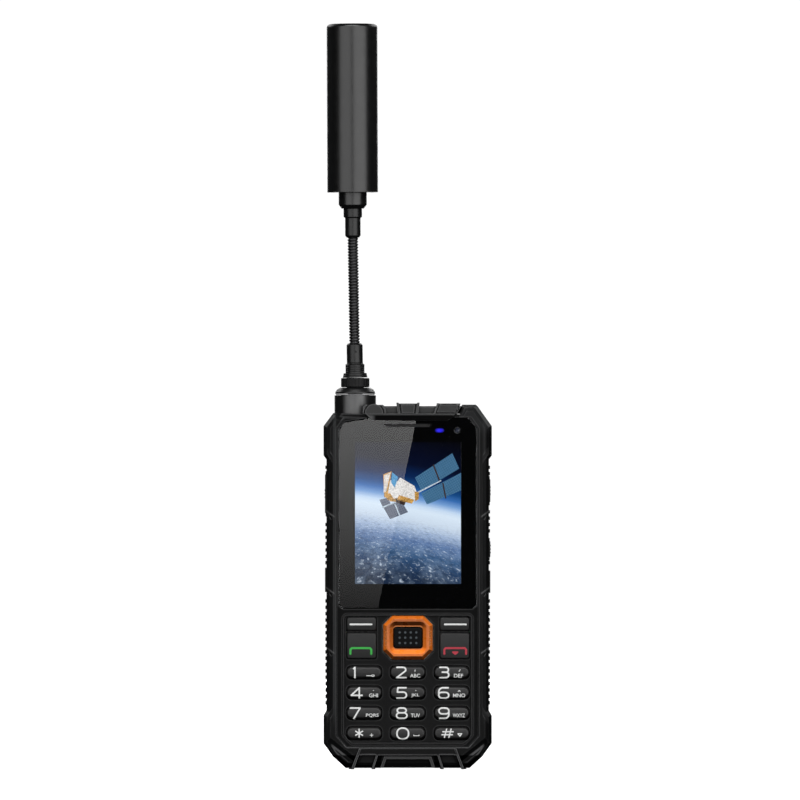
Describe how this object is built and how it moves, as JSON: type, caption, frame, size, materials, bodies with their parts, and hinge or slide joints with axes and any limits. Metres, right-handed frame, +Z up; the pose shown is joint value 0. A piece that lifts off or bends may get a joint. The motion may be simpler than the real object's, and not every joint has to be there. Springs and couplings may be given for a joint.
{
  "type": "satellite phone",
  "caption": "Rugged handheld satellite phone with screen, keypad, sealed port flaps, removable battery cover and a gooseneck antenna that bends and swivels.",
  "frame": {"origin": "middle of the footprint on which the phone stands, below the body's centre", "axes": "+Z up along the body and the antenna, -Y out of the screen, +X to the right of a user who faces the keypad"},
  "size_m": [0.0582, 0.025, 0.2575],
  "materials": {
    "bumper_rubber": "fine matt texture",
    "shell_plastic": "spark-eroded",
    "panel_rubber": "satin",
    "key_plastic": "satin, printed white legends",
    "ring_plastic": "satin orange",
    "inner_plastic": "plain",
    "side_key_rubber": "matt",
    "cover_glass": "polished",
    "screen": "display",
    "lens_black": "glossy",
    "film": "clear film with metal domes",
    "board": "solder resist",
    "can_steel": "tinned",
    "screw_steel": "plated",
    "battery_wrap": "printed film",
    "lamp": "polished reflector",
    "jack_body": "moulded",
    "socket_brass": "plated",
    "antenna_black": "satin black",
    "neck_metal": "black wound strip",
    "helix": "copper strips on a former"
  },
  "bodies": {
    "handset": {"bumper_frame": "bumper_rubber", "top_cap": "bumper_rubber", "front_housing": "shell_plastic", "rear_housing": "shell_plastic", "cover_gasket": "bumper_rubber", "display_glass": "cover_glass", "lcd_module": "screen", "earpiece": "inner_plastic", "front_sensors": "lens_black", "keypad_mat": "panel_rubber", "dome_sheet": "film", "main_board": "board", "shield_cans": "can_steel", "battery": "battery_wrap", "rear_camera": "lens_black", "camera_window": "cover_glass", "loudspeaker": "inner_plastic", "torch_lamp": "lamp", "headset_jack": "jack_body", "usb_port": "can_steel", "housing_screws": "screw_steel", "antenna_socket": "socket_brass"},
    "key_0_body": {"key_0": "key_plastic"},
    "key_1_body": {"key_1": "key_plastic"},
    "key_2_body": {"key_2": "key_plastic"},
    "key_3_body": {"key_3": "key_plastic"},
    "key_4_body": {"key_4": "key_plastic"},
    "key_5_body": {"key_5": "key_plastic"},
    "key_6_body": {"key_6": "key_plastic"},
    "key_7_body": {"key_7": "key_plastic"},
    "key_8_body": {"key_8": "key_plastic"},
    "key_9_body": {"key_9": "key_plastic"},
    "key_call_body": {"key_call": "key_plastic"},
    "key_end_body": {"key_end": "key_plastic"},
    "key_hash_body": {"key_hash": "key_plastic"},
    "key_soft_left_body": {"key_soft_left": "key_plastic"},
    "key_soft_right_body": {"key_soft_right": "key_plastic"},
    "key_star_body": {"key_star": "key_plastic"},
    "key_ok_body": {"key_ok": "key_plastic"},
    "nav_rocker_body": {"nav_rocker": "inner_plastic"},
    "nav_ring_body": {"nav_ring": "ring_plastic"},
    "ptt_key_body": {"ptt_key": "side_key_rubber"},
    "sos_key_body": {"sos_key": "side_key_rubber"},
    "torch_key_body": {"torch_key": "side_key_rubber"},
    "usb_flap_body": {"usb_flap": "bumper_rubber"},
    "jack_flap_body": {"jack_flap": "bumper_rubber"},
    "battery_cover_body": {"battery_cover": "shell_plastic"},
    "cover_lock_left_body": {"cover_lock_left": "screw_steel"},
    "cover_lock_right_body": {"cover_lock_right": "screw_steel"},
    "antenna_foot": {"antenna_base": "antenna_black", "lower_ferrule": "antenna_black"},
    "coupling_nut_body": {"coupling_nut": "antenna_black"},
    "neck_1_body": {"neck_link_1": "neck_metal"},
    "neck_2_body": {"neck_link_2": "neck_metal"},
    "neck_3_body": {"neck_link_3": "neck_metal"},
    "neck_4_body": {"neck_link_4": "neck_metal"},
    "neck_5_body": {"neck_link_5": "neck_metal"},
    "antenna_head": {"upper_ferrule": "antenna_black", "radome": "antenna_black", "helix_element": "helix"}
  },
  "joints": [
    {"name": "key_0_press", "type": "slide", "parent": "handset", "child": "key_0_body", "axis": [0, 1, 0], "range_m": [0, 0.0005], "stiffness_N_per_m": 900, "springref_m": -0.0006},
    {"name": "key_1_press", "type": "slide", "parent": "handset", "child": "key_1_body", "axis": [0, 1, 0], "range_m": [0, 0.0005], "stiffness_N_per_m": 900, "springref_m": -0.0006},
    {"name": "key_2_press", "type": "slide", "parent": "handset", "child": "key_2_body", "axis": [0, 1, 0], "range_m": [0, 0.0005], "stiffness_N_per_m": 900, "springref_m": -0.0006},
    {"name": "key_3_press", "type": "slide", "parent": "handset", "child": "key_3_body", "axis": [0, 1, 0], "range_m": [0, 0.0005], "stiffness_N_per_m": 900, "springref_m": -0.0006},
    {"name": "key_4_press", "type": "slide", "parent": "handset", "child": "key_4_body", "axis": [0, 1, 0], "range_m": [0, 0.0005], "stiffness_N_per_m": 900, "springref_m": -0.0006},
    {"name": "key_5_press", "type": "slide", "parent": "handset", "child": "key_5_body", "axis": [0, 1, 0], "range_m": [0, 0.0005], "stiffness_N_per_m": 900, "springref_m": -0.0006},
    {"name": "key_6_press", "type": "slide", "parent": "handset", "child": "key_6_body", "axis": [0, 1, 0], "range_m": [0, 0.0005], "stiffness_N_per_m": 900, "springref_m": -0.0006},
    {"name": "key_7_press", "type": "slide", "parent": "handset", "child": "key_7_body", "axis": [0, 1, 0], "range_m": [0, 0.0005], "stiffness_N_per_m": 900, "springref_m": -0.0006},
    {"name": "key_8_press", "type": "slide", "parent": "handset", "child": "key_8_body", "axis": [0, 1, 0], "range_m": [0, 0.0005], "stiffness_N_per_m": 900, "springref_m": -0.0006},
    {"name": "key_9_press", "type": "slide", "parent": "handset", "child": "key_9_body", "axis": [0, 1, 0], "range_m": [0, 0.0005], "stiffness_N_per_m": 900, "springref_m": -0.0006},
    {"name": "key_call_press", "type": "slide", "parent": "handset", "child": "key_call_body", "axis": [0, 1, 0], "range_m": [0, 0.0005], "stiffness_N_per_m": 900, "springref_m": -0.0006},
    {"name": "key_end_press", "type": "slide", "parent": "handset", "child": "key_end_body", "axis": [0, 1, 0], "range_m": [0, 0.0005], "stiffness_N_per_m": 900, "springref_m": -0.0006},
    {"name": "key_hash_press", "type": "slide", "parent": "handset", "child": "key_hash_body", "axis": [0, 1, 0], "range_m": [0, 0.0005], "stiffness_N_per_m": 900, "springref_m": -0.0006},
    {"name": "key_soft_left_press", "type": "slide", "parent": "handset", "child": "key_soft_left_body", "axis": [0, 1, 0], "range_m": [0, 0.0005], "stiffness_N_per_m": 900, "springref_m": -0.0006},
    {"name": "key_soft_right_press", "type": "slide", "parent": "handset", "child": "key_soft_right_body", "axis": [0, 1, 0], "range_m": [0, 0.0005], "stiffness_N_per_m": 900, "springref_m": -0.0006},
    {"name": "key_star_press", "type": "slide", "parent": "handset", "child": "key_star_body", "axis": [0, 1, 0], "range_m": [0, 0.0005], "stiffness_N_per_m": 900, "springref_m": -0.0006},
    {"name": "key_ok_press", "type": "slide", "parent": "handset", "child": "key_ok_body", "axis": [0, 1, 0], "range_m": [0, 0.0005], "stiffness_N_per_m": 900, "springref_m": -0.0006},
    {"name": "nav_tilt_up_down", "type": "hinge", "parent": "handset", "child": "nav_rocker_body", "pos_m": [0.0001, -0.00772, 0.0454], "axis": [1, 0, 0], "range_deg": [-2.5, 2.5], "stiffness_Nm_per_rad": 0.35},
    {"name": "nav_tilt_left_right", "type": "hinge", "parent": "nav_rocker_body", "child": "nav_ring_body", "pos_m": [0.0001, -0.00997, 0.0454], "axis": [0, 0, 1], "range_deg": [-2.5, 2.5], "stiffness_Nm_per_rad": 0.35},
    {"name": "ptt_press", "type": "slide", "parent": "handset", "child": "ptt_key_body", "axis": [1, 0, 0], "range_m": [0, 0.00045], "stiffness_N_per_m": 1200, "springref_m": -0.0006},
    {"name": "sos_press", "type": "slide", "parent": "handset", "child": "sos_key_body", "axis": [-1, 0, 0], "range_m": [0, 0.00045], "stiffness_N_per_m": 1200, "springref_m": -0.0006},
    {"name": "torch_press", "type": "slide", "parent": "handset", "child": "torch_key_body", "axis": [-1, 0, 0], "range_m": [0, 0.00045], "stiffness_N_per_m": 1200, "springref_m": -0.0006},
    {"name": "usb_flap_hinge", "type": "hinge", "parent": "handset", "child": "usb_flap_body", "pos_m": [0, 0.0055, 0.0009], "axis": [1, 0, 0], "range_deg": [0, 110]},
    {"name": "jack_flap_hinge", "type": "hinge", "parent": "handset", "child": "jack_flap_body", "pos_m": [0, 0.004, 0.1259], "axis": [-1, 0, 0], "range_deg": [0, 105]},
    {"name": "battery_cover_lift", "type": "slide", "parent": "handset", "child": "battery_cover_body", "axis": [0, 1, 0], "range_m": [0, 0.03]},
    {"name": "cover_lock_left_turn", "type": "hinge", "parent": "battery_cover_body", "child": "cover_lock_left_body", "pos_m": [-0.017, 0.011, 0.0143], "axis": [0, 1, 0], "range_deg": [0, 90]},
    {"name": "cover_lock_right_turn", "type": "hinge", "parent": "battery_cover_body", "child": "cover_lock_right_body", "pos_m": [0.017, 0.011, 0.0143], "axis": [0, 1, 0], "range_deg": [0, 90]},
    {"name": "antenna_swivel", "type": "hinge", "parent": "handset", "child": "antenna_foot", "pos_m": [-0.01813, 0, 0.1294], "axis": [0, 0, 1], "range_deg": [-180, 180]},
    {"name": "coupling_nut_turn", "type": "hinge", "parent": "antenna_foot", "child": "coupling_nut_body", "pos_m": [-0.01813, 0, 0.1334], "axis": [0, 0, 1], "continuous": true},
    {"name": "neck_bend_1", "type": "hinge", "parent": "antenna_foot", "child": "neck_1_body", "pos_m": [-0.01841, 0, 0.15005], "axis": [0, 1, 0], "range_deg": [-15, 15]},
    {"name": "neck_bend_2", "type": "hinge", "parent": "neck_1_body", "child": "neck_2_body", "pos_m": [-0.01852, 0, 0.15615], "axis": [0, 1, 0], "range_deg": [-15, 15]},
    {"name": "neck_bend_3", "type": "hinge", "parent": "neck_2_body", "child": "neck_3_body", "pos_m": [-0.01862, 0, 0.16225], "axis": [0, 1, 0], "range_deg": [-15, 15]},
    {"name": "neck_bend_4", "type": "hinge", "parent": "neck_3_body", "child": "neck_4_body", "pos_m": [-0.01872, 0, 0.16834], "axis": [0, 1, 0], "range_deg": [-15, 15]},
    {"name": "neck_bend_5", "type": "hinge", "parent": "neck_4_body", "child": "neck_5_body", "pos_m": [-0.01883, 0, 0.17444], "axis": [0, 1, 0], "range_deg": [-15, 15]},
    {"name": "neck_bend_6", "type": "hinge", "parent": "neck_5_body", "child": "antenna_head", "pos_m": [-0.01893, 0, 0.18054], "axis": [0, 1, 0], "range_deg": [-15, 15]}
  ]
}
